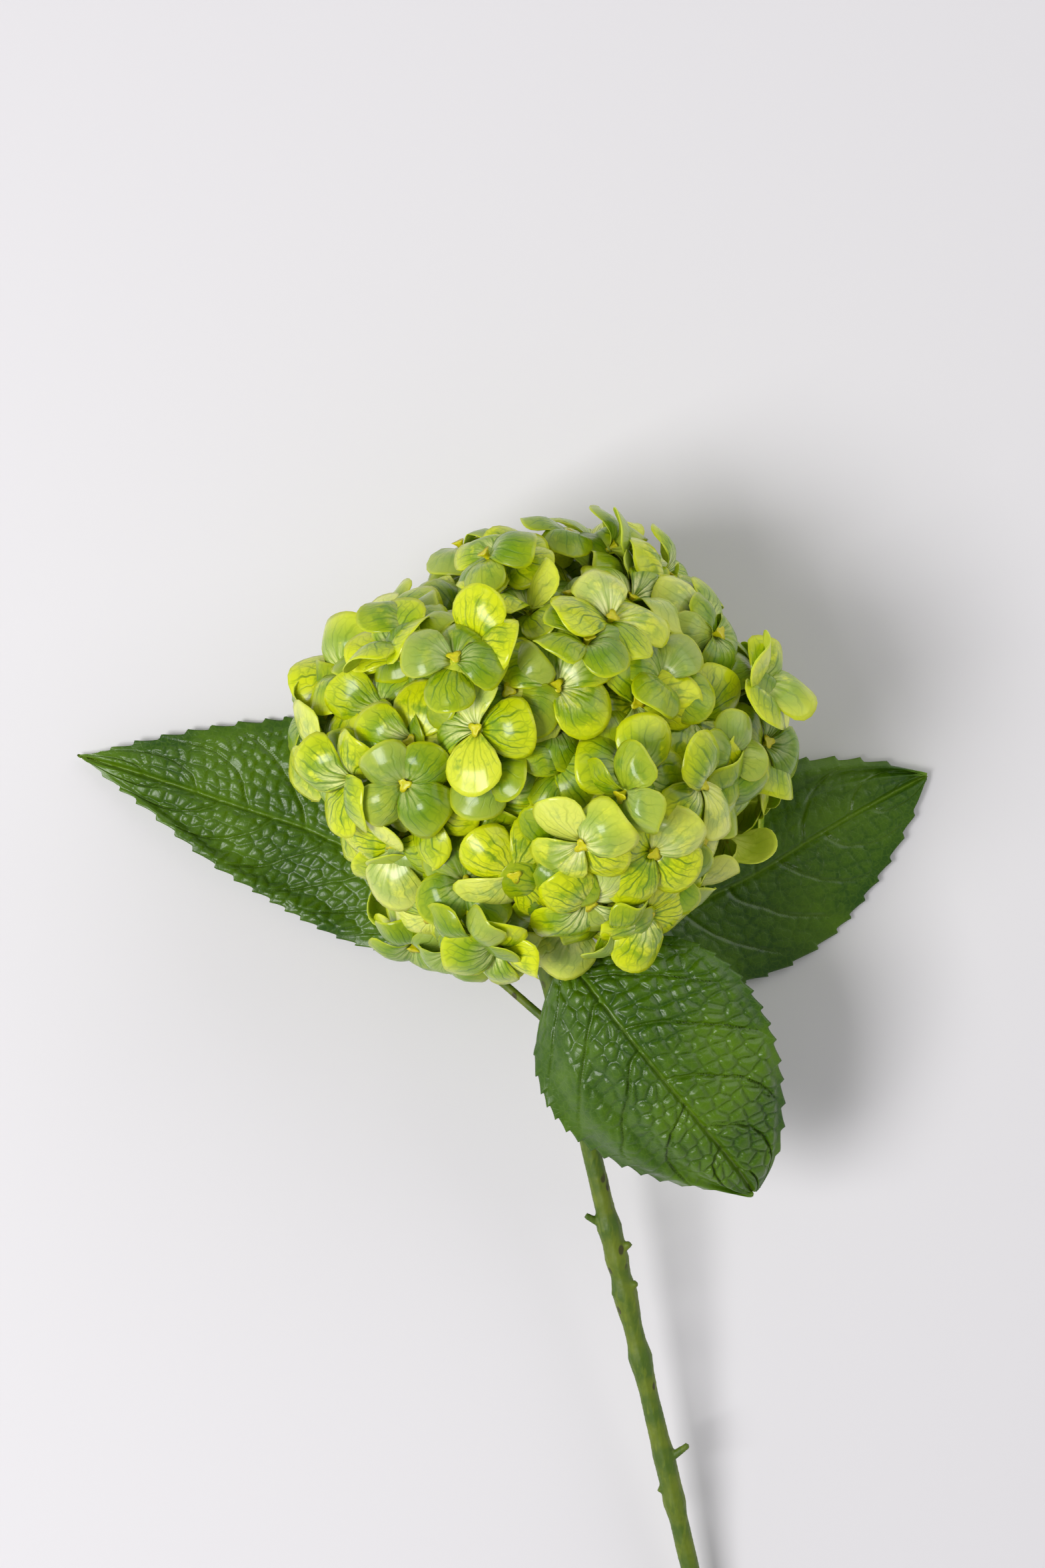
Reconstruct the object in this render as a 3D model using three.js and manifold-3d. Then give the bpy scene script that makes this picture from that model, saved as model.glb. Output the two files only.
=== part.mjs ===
// A cut hydrangea lying on a flat surface: one woody stem, three leaves, one cut side stalk
// and a round flower head. The head is a branched set of rays, and each ray carries cymes
// of a few florets with four sepals each. All sizes are in millimetres, +Z is up.
import * as THREE from "three";
import { mergeVertices } from "three/addons/utils/BufferGeometryUtils.js";
import Module from "manifold-3d";

const wasm = await Module();
wasm.setup();

// ---- Driving dimensions ----------------------------------------------------------------

// Flower head: half sizes to the florets' eyes, across, along the stem and up.
const HEAD_HALF_WIDTH = 80;
const HEAD_HALF_LENGTH = 75;
const HEAD_HALF_HEIGHT = 74;
const HEAD_CENTRE = new THREE.Vector3(1, -6, 76.5); // low enough to press the lowest florets flat
const STEM_CONE = 0.6; // half angle round the stem that is free of florets, radians
const CYME_COUNT = 30;
const FLORETS_PER_CYME = 3;
const RAY_COUNT = 7;
const DEPTH_SPREAD = 15; // how much deeper than the outermost a floret may sit
const FLORET_TILT = 0.34; // largest lean of a floret away from the head's surface

// Sepals: a fan from the eye, four to a floret, the upper pair over the lower pair.
const SEPAL_LENGTH = 20.5;
const SEPAL_HALF_ANGLE = 0.98;
const SEPAL_SHOULDER = 0.5; // how far the fan's corners are drawn in
const SEPAL_THICKNESS = 1.1;
const SEPAL_BULGE = 1.9;
const SEPAL_SIDE_DROP = 1.3;
const UPPER_PAIR_LIFT = 1.0;
const SEPAL_CLEARANCE = 1.4; // between the middles of sepals that lie over each other

// Eye and stalks inside the head.
const EYE_HEIGHT = 5.2;
const EYE_HALF_LENGTH = 2.4;
const EYE_HALF_WIDTH = 1.9;
const EYE_ROOT = 1.2; // how far the eye reaches below its sepals
const EYE_FOOT = 3; // where the eye starts to come to a point
const CLAW_START = 0.3; // from the middle of the eye to a sepal's narrow end
const PEDICEL_RADIUS = 0.9;
const CYME_STALK_RADIUS = 1.3;
const RAY_RADIUS = 1.7;
const HUB_RADIUS = 5.5;
const FORK_SHARE = 0.62; // where a cyme forks, as a share of the way from the hub
const CYME_STALK_LENGTH = 7;
const GAP = 0.4; // between separate pieces that meet face to face
const RAY_SHARE = 0.5; // where a ray forks, as a share of the way from the hub to its cymes
const RAY_LOWEST = -0.75; // how far round towards the stem the rays reach

// Stem, from the hub in the head to the cut end on the surface.
const STEM_RADIUS = 3.7;
const STEM_END_RADIUS = 3.6;
const STEM_HUB = new THREE.Vector3(-11, -22, 72);
const STEM_END_HEIGHT = 3; // of the middle of the cut end over the surface
const STEM_LENGTH = 363;
const STEM_LEAN = 0.232; // radians to +X, seen from above
const STEM_BOW = 3; // how far the middle of the stem sags
const NODE_SWELLING = 1.1;
const NODE_SPREAD = 4.5;
const NUB_RADIUS = 1.9;
const NUB_RISE = 0.7; // how much the nubs lean towards the head

// Places along the stem, in millimetres from the hub: where the two low leaves, the front
// leaf and the side stalk leave it, a ring of old growth, and the nubs of cut side shoots.
const LOW_LEAF_NODE = 61;
const FRONT_LEAF_NODE = 50;
const SIDE_STALK_NODE = 88;
const RING_NODE = 215;
const NUBS = [
  { from: 112, turn: 2.7, length: 0.8 },
  { from: 163, turn: 2.9, length: 6 },
  { from: 173, turn: 0.3, length: 2.5 },
  { from: 188, turn: 0.5, length: 2 },
  { from: 191, turn: 2.8, length: 1.5 },
  { from: STEM_LENGTH - 107, turn: 0.3, length: 7 },
  { from: STEM_LENGTH - 93, turn: 2.9, length: 2 },
  { from: STEM_LENGTH - 41, turn: 1.2, length: 2 },
];

// Leaves. A midrib is given by its points, fullness says how blunt the blade's base and tip
// are (less is blunter). Half widths and drops are of its left side, then its right side,
// seen from its base, and a drop is how far that edge falls below the midrib.
const LEAVES = {
  leaf_left: {
    node: LOW_LEAF_NODE,
    midrib: [
      [-24, -74, 21.5], [-50, -53, 9], [-82, -34.5, 6.3], [-115, -23, 6.5], [-148, -12, 6], [-174.6, -4.2, 4],
    ],
    halfWidths: [33, 39],
    fullness: [0.8, 1.3],
    drops: [5, 5],
  },
  leaf_right: {
    node: LOW_LEAF_NODE,
    midrib: [
      [24, -77, 25], [48, -65, 12], [80, -50, 7], [104.5, -35, 7], [128, -21.5, 6], [146.7, -11.8, 4],
    ],
    halfWidths: [37, 36],
    fullness: [0.75, 0.95],
    drops: [5, 5],
  },
  leaf_front: {
    node: FRONT_LEAF_NODE,
    midrib: [
      [10, -76, 80], [19, -88, 88], [34, -107, 91], [52, -129, 85], [69, -150, 71], [77, -162, 59],
    ],
    halfWidths: [43, 38],
    fullness: [0.5, 0.75],
    drops: [8, 20],
  },
};
const BLADE_THICKNESS = 1.5;
const BLADE_START = 0.02; // a blade's blunt ends, as shares of its midrib
const BLADE_END = 0.012;
const PETIOLE_RADIUS = 2;
const PETIOLE_STRAIGHT = 10; // straight run of a petiole into its midrib
const SIDE_STALK_RADIUS = 1.65;
const SIDE_STALK_LENGTH = 31;

const HEAD_HALF = new THREE.Vector3(HEAD_HALF_WIDTH, HEAD_HALF_LENGTH, HEAD_HALF_HEIGHT);
const UP = new THREE.Vector3(0, 0, 1);

// ---- Small tools -----------------------------------------------------------------------

let seed = 34;
function random() {
  seed = (seed * 1103515245 + 12345) % 2147483648;
  return seed / 2147483648;
}

function spread(size) {
  return (random() * 2 - 1) * size;
}

function solidOf(geometry) {
  const bare = geometry.clone();
  bare.deleteAttribute("normal");
  bare.deleteAttribute("uv");
  const merged = mergeVertices(bare, 1e-4);
  return new wasm.Manifold(
    new wasm.Mesh({
      numProp: 3,
      vertProperties: merged.attributes.position.array,
      triVerts: new Uint32Array(merged.index.array),
    }),
  );
}

function geometryOf(solid) {
  const mesh = solid.getMesh();
  return new THREE.BufferGeometry()
    .setAttribute("position", new THREE.BufferAttribute(mesh.vertProperties, 3))
    .setIndex(new THREE.BufferAttribute(mesh.triVerts, 1));
}

// Joins closed shapes into one, and lets go of vertices that no longer bend its surface.
function joined(geometries) {
  const whole = geometries.map(solidOf).reduce((all, next) => all.add(next));
  return whole.asOriginal().simplify(0.005);
}

// Moves every vertex of a geometry to the place that place(vertex) gives.
function reshaped(geometry, place) {
  const at = geometry.attributes.position;
  const vertex = new THREE.Vector3();
  for (let i = 0; i < at.count; i++) {
    const moved = place(vertex.fromBufferAttribute(at, i).clone());
    at.setXYZ(i, moved.x, moved.y, moved.z);
  }
  return geometry;
}

// A straight rod between two points.
function rod(from, to, radiusFrom, radiusTo = radiusFrom, sides = 6) {
  const along = to.clone().sub(from);
  const rest = new THREE.CylinderGeometry(radiusTo, radiusFrom, along.length(), sides);
  const turn = new THREE.Quaternion().setFromUnitVectors(
    new THREE.Vector3(0, 1, 0),
    along.clone().normalize(),
  );
  return rest
    .applyQuaternion(turn)
    .translate(...from.clone().add(to).multiplyScalar(0.5).toArray());
}

// ---- Where the florets sit -------------------------------------------------------------

// Even directions over a ball, starting at the pole, down to a given share of its height.
function evenDirections(count, lowest) {
  const turn = Math.PI * (3 - Math.sqrt(5));
  return Array.from({ length: count }, (_, i) => {
    const height = 1 - ((1 - lowest) * (i + 0.5)) / count;
    const flat = Math.sqrt(1 - height * height);
    return new THREE.Vector3(flat * Math.cos(i * turn), flat * Math.sin(i * turn), height);
  });
}

const stemDirection = new THREE.Vector3(Math.sin(STEM_LEAN), -Math.cos(STEM_LEAN), 0).setZ(
  -(STEM_HUB.z - STEM_END_HEIGHT) / STEM_LENGTH,
);
stemDirection.normalize();
const headAxis = stemDirection.clone().negate();

const poleTurn = new THREE.Quaternion().setFromUnitVectors(UP, headAxis);
const lowestShare = -Math.cos(STEM_CONE);
const cymeDirections = evenDirections(CYME_COUNT, lowestShare).map((d) =>
  d.applyQuaternion(poleTurn),
);

// Each cyme's florets start close round its own direction, and all of them then drift apart.
function floretDirections() {
  const found = [];
  cymeDirections.forEach((middle, cyme) => {
    const side = new THREE.Vector3().crossVectors(middle, headAxis).normalize();
    const first = random() * Math.PI * 2;
    for (let k = 0; k < FLORETS_PER_CYME; k++) {
      const turn = first + (k * 2 * Math.PI) / FLORETS_PER_CYME;
      const off = side.clone().applyAxisAngle(middle, turn);
      found.push({ cyme, direction: middle.clone().addScaledVector(off, 0.2).normalize() });
    }
  });
  const apart = Math.sqrt((2 * Math.PI * (1 - lowestShare) * 1.15) / found.length);
  for (let round = 0; round < 60; round++) {
    for (const a of found) {
      for (const b of found) {
        const between = a.direction.clone().sub(b.direction);
        const distance = between.length();
        if (a === b || distance > apart) continue;
        const push = (0.25 * (apart - distance)) / distance;
        a.direction.addScaledVector(between, push).normalize();
        b.direction.addScaledVector(between, -push).normalize();
      }
      const angle = a.direction.angleTo(stemDirection);
      if (angle < STEM_CONE) {
        const away = a.direction.clone().addScaledVector(stemDirection, -Math.cos(angle));
        a.direction.addScaledVector(away.normalize(), STEM_CONE - angle).normalize();
      }
    }
  }
  return found;
}

function rimRadius(angle) {
  return SEPAL_LENGTH * (1 - SEPAL_SHOULDER * (angle / SEPAL_HALF_ANGLE) ** 4);
}

// Height of a sepal over its floret's own plane, at a distance from the eye and an angle
// from the sepal's middle line.
function sepalHeight(floret, sepal, distance, angle) {
  const share = Math.min(1, distance / SEPAL_LENGTH);
  const side = (distance * Math.sin(angle)) / (0.55 * SEPAL_LENGTH);
  return (
    (sepal % 2 ? 0 : UPPER_PAIR_LIFT) +
    floret.slopes[sepal] * distance +
    SEPAL_BULGE * Math.sin(Math.PI * share) -
    SEPAL_SIDE_DROP * side * side
  );
}

function eyeOf(floret) {
  return floret.home.clone().addScaledVector(floret.outward, floret.shift);
}

function placeOn(floret, sepal, distance, angle, extra = 0) {
  const turn = (sepal * Math.PI) / 2 + angle;
  return eyeOf(floret)
    .addScaledVector(floret.first, distance * Math.cos(turn))
    .addScaledVector(floret.second, distance * Math.sin(turn))
    .addScaledVector(floret.normal, sepalHeight(floret, sepal, distance, angle) + extra);
}

function newFloret({ cyme, direction }) {
  const outward = direction.clone().multiply(HEAD_HALF);
  const home = HEAD_CENTRE.clone().add(outward);
  outward.normalize();
  const depth = random() * DEPTH_SPREAD;
  const normal = direction
    .clone()
    .divide(HEAD_HALF)
    .normalize()
    .add(new THREE.Vector3(spread(1), spread(1), spread(1)).setLength(random() * FLORET_TILT))
    .normalize();
  const first = new THREE.Vector3(spread(1), spread(1), spread(1)).cross(normal).normalize();
  const second = new THREE.Vector3().crossVectors(normal, first);
  const open = 0.12 + spread(0.16);
  const natural = [0, 1, 2, 3].map((k) => open + (k % 2 ? -0.06 : 0.06) + spread(0.1));
  return {
    cyme, outward, home, normal, first, second, natural,
    shift: -depth, depth, slopes: [...natural],
  };
}

const RIM_SAMPLES = [-1, -0.8, -0.6, -0.4, -0.2, 0, 0.2, 0.4, 0.6, 0.8, 1].map((share) => {
  const angle = share * SEPAL_HALF_ANGLE;
  return [rimRadius(angle), angle];
});
const INNER_SAMPLES = [0.45, 0.72].flatMap((r) =>
  [-0.6, 0, 0.6].map((share) => {
    const angle = share * SEPAL_HALF_ANGLE;
    return [rimRadius(angle) * r, angle];
  }),
);
const SAMPLES = [...RIM_SAMPLES, ...INNER_SAMPLES];
const SLOPE_EASE = 1 / (11 * 11); // how easily a sepal swings, against its floret shifting
const LOWEST_SLOPE = -0.5;
const HIGHEST_SLOPE = 0.85;
const LEAN_MARGIN = 0.6; // outside its rim a sepal still keeps others off by this much

// Moves floret a's sepals off floret b's, to its outer side (+1) or its inner side (-1).
function keepOff(a, b, side, strength) {
  const eyeB = eyeOf(b);
  const point = new THREE.Vector3();
  const shiftA = b.normal.dot(a.outward);
  const shiftB = b.normal.dot(b.outward);
  const slopeA = b.normal.dot(a.normal);
  for (let k = 0; k < 4; k++) {
    for (const [distance, angle] of SAMPLES) {
      point.copy(placeOn(a, k, distance, angle)).sub(eyeB);
      const x = point.dot(b.first);
      const y = point.dot(b.second);
      const away = Math.hypot(x, y);
      if (away > SEPAL_LENGTH + LEAN_MARGIN) continue;
      const turn = Math.atan2(y, x);
      for (let l = 0; l < 4; l++) {
        let off = turn - (l * Math.PI) / 2;
        off -= 2 * Math.PI * Math.round(off / (2 * Math.PI));
        if (Math.abs(off) > SEPAL_HALF_ANGLE) continue;
        if (away > rimRadius(off) + LEAN_MARGIN) continue;
        const over = side * (point.dot(b.normal) - sepalHeight(b, l, away, off));
        const short = SEPAL_CLEARANCE - over;
        if (short <= 0) continue;
        const total =
          shiftA * shiftA + shiftB * shiftB +
          SLOPE_EASE * ((distance * slopeA) ** 2 + away ** 2);
        const step = (side * strength * short) / total;
        a.shift += step * shiftA;
        b.shift -= step * shiftB;
        a.slopes[k] += step * SLOPE_EASE * distance * slopeA;
        b.slopes[l] -= step * SLOPE_EASE * away;
      }
    }
  }
}

// Presses a floret's sepals up off the surface that the head lies on.
function keepAboveSurface(floret, lowest) {
  for (let k = 0; k < 4; k++) {
    for (const [distance, angle] of SAMPLES) {
      const short = lowest - placeOn(floret, k, distance, angle).z;
      if (short <= 0) continue;
      const total =
        floret.outward.z ** 2 + SLOPE_EASE * (distance * floret.normal.z) ** 2;
      floret.shift += (short / total) * floret.outward.z;
      floret.slopes[k] += (short / total) * SLOPE_EASE * distance * floret.normal.z;
    }
  }
}

// The upper pair of sepals stays over the lower pair, and no sepal bends too far.
function keepInOrder(floret) {
  for (let k = 0; k < 4; k++) {
    const upper = k % 2 ? (k + 1) % 4 : k;
    const lower = k % 2 ? k : k + 1;
    const short = floret.slopes[lower] - floret.slopes[upper];
    if (short > 0) {
      floret.slopes[upper] += short / 2;
      floret.slopes[lower] -= short / 2;
    }
  }
  floret.slopes = floret.slopes.map((s) =>
    Math.min(HIGHEST_SLOPE, Math.max(LOWEST_SLOPE, s)),
  );
}

const SETTLING_ROUNDS = 300;
function settled(florets) {
  const pairs = [];
  florets.forEach((a, i) =>
    florets.slice(i + 1).forEach((b) => {
      const reach = 2 * SEPAL_LENGTH + DEPTH_SPREAD;
      if (a.home.distanceTo(b.home) < reach) pairs.push(a.depth < b.depth ? [a, b] : [b, a]);
    }),
  );
  for (let round = 0; round < SETTLING_ROUNDS; round++) {
    const pull = 0.06 * Math.max(0, 1 - round / (0.7 * SETTLING_ROUNDS));
    for (const [outer, inner] of pairs) {
      keepOff(outer, inner, 1, 0.5);
      keepOff(inner, outer, -1, 0.5);
    }
    for (const floret of florets) {
      keepAboveSurface(floret, SEPAL_THICKNESS);
      keepInOrder(floret);
      floret.shift += pull * (-floret.depth - floret.shift);
      floret.slopes = floret.slopes.map((s, k) => s + pull * (floret.natural[k] - s));
    }
  }
  return florets;
}

const florets = settled(floretDirections().map(newFloret));

// ---- Flower head -----------------------------------------------------------------------

// A sepal is a ball of six sides, flattened, with its equator drawn out to the sepal's rim.
const RIM_SHARES = [-1, -0.6, 0, 0.6, 1];
function sepalGeometry(floret, sepal) {
  const sides = RIM_SHARES.length + 1;
  return reshaped(new THREE.SphereGeometry(1, sides, 2), (vertex) => {
    if (Math.abs(vertex.y) > 0.5) {
      const half = (vertex.y * SEPAL_THICKNESS) / 2;
      return placeOn(floret, sepal, 0.52 * SEPAL_LENGTH, 0, half);
    }
    const turn = Math.atan2(-vertex.z, vertex.x) / (2 * Math.PI);
    const corner = Math.round((turn + 1) * sides) % sides;
    if (corner === 0) return placeOn(floret, sepal, CLAW_START, 0);
    const angle = RIM_SHARES[corner - 1] * SEPAL_HALF_ANGLE;
    return placeOn(floret, sepal, rimRadius(angle), angle);
  });
}

// The eye is a small four-sided point, longer along the upper pair of sepals.
function eyeGeometry(floret) {
  const profile = [
    new THREE.Vector2(0, -EYE_ROOT),
    new THREE.Vector2(1, -EYE_ROOT),
    new THREE.Vector2(1, EYE_FOOT),
    new THREE.Vector2(0, EYE_HEIGHT),
  ];
  const eye = eyeOf(floret);
  return reshaped(new THREE.LatheGeometry(profile, 4, Math.PI / 4), (vertex) =>
    eye
      .clone()
      .addScaledVector(floret.first, vertex.x * EYE_HALF_LENGTH)
      .addScaledVector(floret.second, -vertex.z * EYE_HALF_WIDTH)
      .addScaledVector(floret.normal, vertex.y),
  );
}

const cymes = cymeDirections.map((_, index) => {
  const members = florets.filter((f) => f.cyme === index);
  const middle = new THREE.Vector3();
  members.forEach((f) => middle.add(eyeOf(f)));
  middle.divideScalar(members.length);
  return { members, fork: STEM_HUB.clone().lerp(middle, FORK_SHARE) };
});

// Each cyme belongs to the ray whose direction from the hub is nearest.
const rayDirections = evenDirections(RAY_COUNT, RAY_LOWEST).map((d) =>
  d.applyQuaternion(poleTurn),
);
const rays = rayDirections.map(() => []);
for (const cyme of cymes) {
  const towards = cyme.fork.clone().sub(STEM_HUB);
  const angles = rayDirections.map((d) => d.angleTo(towards));
  rays[angles.indexOf(Math.min(...angles))].push(cyme);
}
const usedRays = rays.filter((members) => members.length);

function rayTip(members) {
  const middle = new THREE.Vector3();
  members.forEach((cyme) => middle.add(cyme.fork));
  return STEM_HUB.clone().lerp(middle.divideScalar(members.length), RAY_SHARE);
}

for (const members of usedRays) {
  const tip = rayTip(members);
  for (const cyme of members) {
    const inward = tip.clone().sub(cyme.fork).normalize();
    cyme.stalkEnd = cyme.fork.clone().addScaledVector(inward, CYME_STALK_LENGTH);
    cyme.rayEnd = cyme.stalkEnd.clone().addScaledVector(inward, GAP);
  }
}

function cymeSolid(cyme) {
  const pieces = [rod(cyme.stalkEnd, cyme.fork, CYME_STALK_RADIUS)];
  for (const floret of cyme.members) {
    for (let k = 0; k < 4; k++) pieces.push(sepalGeometry(floret, k));
    pieces.push(eyeGeometry(floret));
    pieces.push(rod(cyme.fork, eyeOf(floret), PEDICEL_RADIUS, PEDICEL_RADIUS, 4));
  }
  return joined(pieces);
}

function raySolid(members) {
  const tip = rayTip(members);
  const outward = tip.clone().sub(STEM_HUB).normalize();
  const besideStem = (STEM_RADIUS + RAY_RADIUS + GAP) / Math.sin(outward.angleTo(stemDirection));
  const leansBack = outward.dot(stemDirection) > 0;
  const clear = Math.max(HUB_RADIUS + GAP, leansBack ? besideStem : 0);
  const foot = STEM_HUB.clone().addScaledVector(outward, clear);
  const pieces = [rod(foot, tip.addScaledVector(outward, RAY_RADIUS / 2), RAY_RADIUS)];
  for (const cyme of members) pieces.push(rod(rayTip(members), cyme.rayEnd, CYME_STALK_RADIUS));
  return joined(pieces);
}

// ---- Stem ------------------------------------------------------------------------------

const stemEnd = STEM_HUB.clone().addScaledVector(stemDirection, STEM_LENGTH);
const stemMiddle = STEM_HUB.clone().add(stemEnd).multiplyScalar(0.5);
stemMiddle.z -= STEM_BOW;
const stemLine = new THREE.QuadraticBezierCurve3(STEM_HUB, stemMiddle, stemEnd);

function stemPoint(fromHub) {
  return stemLine.getPointAt(fromHub / STEM_LENGTH);
}

function stemRadius(fromHub) {
  const nodes = [LOW_LEAF_NODE, SIDE_STALK_NODE, RING_NODE, ...NUBS.map((nub) => nub.from)];
  const swell = nodes.map((n) => Math.exp(-(((fromHub - n) / NODE_SPREAD) ** 2)));
  const plain = STEM_RADIUS + (STEM_END_RADIUS - STEM_RADIUS) * (fromHub / STEM_LENGTH);
  return plain + NODE_SWELLING * Math.max(...swell);
}

// A rod of changing radius along a curve, closed by a flat cut at each end.
function alongCurve(curve, radiusAt, sides, steps) {
  const frames = curve.computeFrenetFrames(steps, false);
  const rest = new THREE.CylinderGeometry(1, 1, 1, sides, steps);
  return reshaped(rest, (vertex) => {
    const step = Math.round((0.5 - vertex.y) * steps);
    const radius = radiusAt(step / steps);
    return curve
      .getPointAt(step / steps)
      .addScaledVector(frames.normals[step], vertex.x * radius)
      .addScaledVector(frames.binormals[step], vertex.z * radius);
  });
}

function stemSolid() {
  const cane = alongCurve(stemLine, (share) => stemRadius(share * STEM_LENGTH), 8, 56);
  const hub = new THREE.IcosahedronGeometry(HUB_RADIUS, 1).translate(...STEM_HUB.toArray());
  const nubs = NUBS.map(({ from, turn, length }) => {
    const out = new THREE.Vector3(Math.cos(turn), 0, Math.sin(turn));
    out.addScaledVector(headAxis, NUB_RISE).normalize();
    const tip = stemPoint(from).addScaledVector(out, stemRadius(from) + length);
    return rod(stemPoint(from), tip, NUB_RADIUS, NUB_RADIUS * 0.7);
  });
  return joined([cane, hub, ...nubs]);
}

// ---- Leaves ----------------------------------------------------------------------------

// Share of a blade's half width, from 0 at its ends to 1 where it is widest.
function bladeShare([base, tip], along) {
  const at = (x) => x ** base * (1 - x) ** tip;
  return at(along) / at(base / (base + tip));
}

function leafLine(leaf) {
  return new THREE.CatmullRomCurve3(leaf.midrib.map((p) => new THREE.Vector3(...p)));
}

function bladeGeometry(leaf) {
  const line = leafLine(leaf);
  return reshaped(new THREE.BoxGeometry(1, 1, 1, 12, 4, 1), (vertex) => {
    const along = BLADE_START + (1 - BLADE_START - BLADE_END) * (vertex.x + 0.5);
    const across = 2 * vertex.y;
    const tangent = line.getTangentAt(along);
    const side = new THREE.Vector3().crossVectors(UP, tangent).normalize();
    const up = new THREE.Vector3().crossVectors(tangent, side);
    const share = bladeShare(leaf.fullness, along);
    const half = across > 0 ? 0 : 1;
    const drop = share * leaf.drops[half] * Math.abs(across) ** 1.7;
    return line
      .getPointAt(along)
      .addScaledVector(side, across * share * leaf.halfWidths[half])
      .addScaledVector(up, vertex.z * BLADE_THICKNESS - drop);
  });
}

function leafSolid(leaf) {
  const blade = leafLine(leaf);
  const root = stemPoint(leaf.node);
  const start = blade.getPointAt(0);
  const bend = start.clone().addScaledVector(blade.getTangentAt(0), -PETIOLE_STRAIGHT);
  const out = bend.clone().sub(root).normalize();
  const foot = root.clone().addScaledVector(out, stemRadius(leaf.node) + GAP + 0.5);
  const points = [foot, bend, ...[0, 0.2, 0.4, 0.6, 0.8].map((t) => blade.getPointAt(t))];
  const rib = new THREE.CatmullRomCurve3(points);
  const ribbed = alongCurve(rib, (share) => PETIOLE_RADIUS * (1 - 0.7 * share), 6, 12);
  return joined([bladeGeometry(leaf), ribbed]);
}

function sideStalkSolid() {
  const out = new THREE.Vector3(-0.76, 0.65, -0.1).normalize();
  const clear = (stemRadius(SIDE_STALK_NODE) + SIDE_STALK_RADIUS) / 0.8 + GAP;
  const foot = stemPoint(SIDE_STALK_NODE).addScaledVector(out, clear);
  const end = foot.clone().addScaledVector(out, SIDE_STALK_LENGTH);
  return joined([rod(foot, end, SIDE_STALK_RADIUS, SIDE_STALK_RADIUS, 8)]);
}

// ---- The plant as separate pieces ------------------------------------------------------

function material(colour, roughness) {
  return new THREE.MeshStandardMaterial({ color: colour, roughness, metalness: 0 });
}
const SEPAL_GREEN = material(0xb7cf3a, 0.45);
const STALK_GREEN = material(0x8fa83c, 0.6);
const STEM_GREEN = material(0x6f8f2a, 0.6);
const LEAF_GREEN = material(0x3c7a1c, 0.35);

const plant = new THREE.Group();
function add(name, solid, finish) {
  const piece = new THREE.Mesh(geometryOf(solid), finish);
  piece.name = name;
  plant.add(piece);
}

const numbered = (index) => String(index + 1).padStart(2, "0");
add("stem", stemSolid(), STEM_GREEN);
add("side_stalk", sideStalkSolid(), STEM_GREEN);
for (const [name, leaf] of Object.entries(LEAVES)) add(name, leafSolid(leaf), LEAF_GREEN);
usedRays.forEach((members, i) => add("flower_ray_" + (i + 1), raySolid(members), STALK_GREEN));
cymes.forEach((cyme, i) => add("floret_cyme_" + numbered(i), cymeSolid(cyme), SEPAL_GREEN));

// The origin is on the surface, under the middle of the whole plant.
const bounds = new THREE.Box3().setFromObject(plant);
const middle = bounds.getCenter(new THREE.Vector3());
plant.position.set(-middle.x, -middle.y, -bounds.min.z);

export default plant;
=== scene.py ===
import math
import random

import bmesh
import bpy
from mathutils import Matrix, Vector


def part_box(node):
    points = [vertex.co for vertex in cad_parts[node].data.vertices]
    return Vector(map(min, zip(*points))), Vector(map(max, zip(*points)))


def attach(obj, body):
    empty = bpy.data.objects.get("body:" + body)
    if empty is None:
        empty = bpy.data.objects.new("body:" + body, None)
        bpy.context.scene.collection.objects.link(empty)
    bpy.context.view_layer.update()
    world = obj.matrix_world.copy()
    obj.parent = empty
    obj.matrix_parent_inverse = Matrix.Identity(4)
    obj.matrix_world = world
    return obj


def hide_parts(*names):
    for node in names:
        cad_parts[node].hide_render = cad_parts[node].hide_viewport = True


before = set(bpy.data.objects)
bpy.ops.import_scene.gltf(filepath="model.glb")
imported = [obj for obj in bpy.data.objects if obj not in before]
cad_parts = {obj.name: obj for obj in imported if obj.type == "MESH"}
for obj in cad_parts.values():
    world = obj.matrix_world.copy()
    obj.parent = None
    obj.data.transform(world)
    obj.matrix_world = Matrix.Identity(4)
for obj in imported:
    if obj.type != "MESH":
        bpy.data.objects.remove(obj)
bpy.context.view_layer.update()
MM = 0.001

# ---- Stem ------------------------------------------------------------------------------
# One woody green cane from the flower head to its cut end, with swollen nodes and the
# stubs of side shoots. Grown as one piece: its bark is matte, with dark corky specks.


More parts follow.
